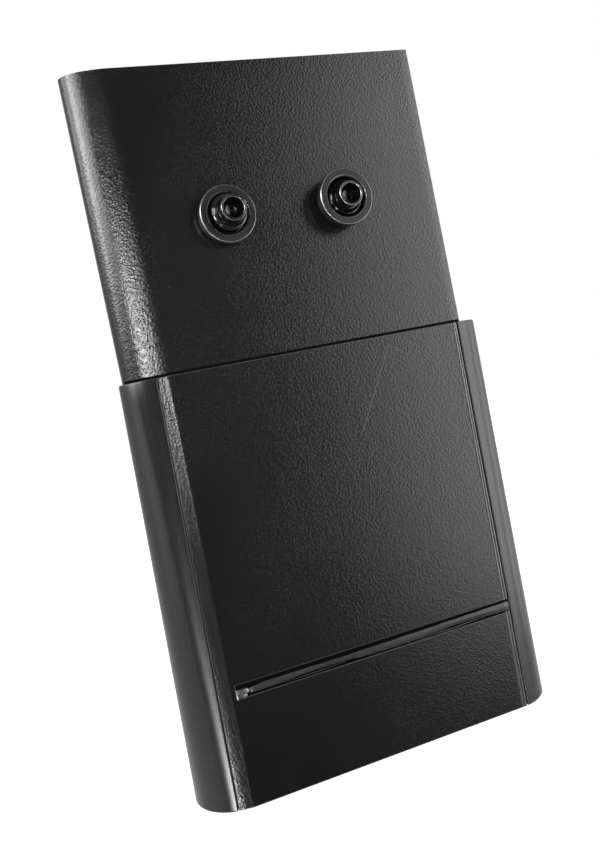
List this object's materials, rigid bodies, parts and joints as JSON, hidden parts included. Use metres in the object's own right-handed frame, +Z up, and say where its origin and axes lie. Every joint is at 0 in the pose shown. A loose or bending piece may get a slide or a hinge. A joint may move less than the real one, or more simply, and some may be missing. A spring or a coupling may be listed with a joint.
{
  "type": "telescoping sleeve housing",
  "caption": "Flat telescoping housing with rounded sides: a grained slide carrying collared studs runs in a wedge-shaped sleeve with an inlaid front cover and a slot across its foot.",
  "frame": {"origin": "centre of the base's footprint, on the base's underside", "axes": "+Z up along the sleeve and the slide's travel, the front with the studs toward -Y, +X to the right seen from the front"},
  "size_m": [0.1444, 0.0479, 0.2555],
  "materials": {
    "shell": "satin, faint draw lines",
    "grained": "fine leather grain",
    "inner": "plain moulded",
    "strip": "smooth",
    "clip": "dull",
    "rail": "slick natural nylon",
    "felt": "felt",
    "steel": "plain",
    "zinc": "zinc plated",
    "gasket": "matt",
    "black_gloss": "polished",
    "black_steel": "blackened, bright edges",
    "ring_paint": "black enamel, dull end face"
  },
  "bodies": {
    "sleeve": {"rear_shell": "shell", "front_cover": "grained", "cross_rib": "inner", "groove_strip": "strip", "strip_tab": "clip", "seam_bead": "strip", "guide_rail_left": "rail", "guide_rail_right": "rail", "stop_bar": "inner", "rim_felt": "felt", "base_plate": "shell", "base_screws": "steel"},
    "slide": {"slide_front": "grained", "slide_back": "shell", "top_cap": "inner", "slide_foot": "inner", "friction_pad_left": "felt", "friction_pad_right": "felt", "stud_plate": "zinc", "stud_gaskets": "gasket", "stud_spacers": "steel", "stud_washers": "zinc", "stud_nuts": "zinc", "hub_left": "black_gloss", "hub_right": "black_gloss", "post_left": "black_steel", "post_right": "black_steel"},
    "collar_bush_left": {"bush_left": "black_gloss"},
    "collar_bush_right": {"bush_right": "black_gloss"},
    "collar_ring_left": {"ring_left": "ring_paint"},
    "collar_ring_right": {"ring_right": "ring_paint"}
  },
  "joints": [
    {"name": "slide_travel", "type": "slide", "parent": "sleeve", "child": "slide", "axis": [0, 0, 1], "range_m": [-0.038, 0]},
    {"name": "collar_push_left", "type": "slide", "parent": "slide", "child": "collar_bush_left", "axis": [0, -1, 0], "range_m": [0, 0.0034]},
    {"name": "collar_push_right", "type": "slide", "parent": "slide", "child": "collar_bush_right", "axis": [0, -1, 0], "range_m": [-0.0034, 0]},
    {"name": "collar_turn_left", "type": "hinge", "parent": "collar_bush_left", "child": "collar_ring_left", "pos_m": [-0.023, -0.0186, 0.2015], "axis": [0, -1, 0], "continuous": true},
    {"name": "collar_turn_right", "type": "hinge", "parent": "collar_bush_right", "child": "collar_ring_right", "pos_m": [0.0205, -0.022, 0.2015], "axis": [0, -1, 0], "continuous": true}
  ]
}
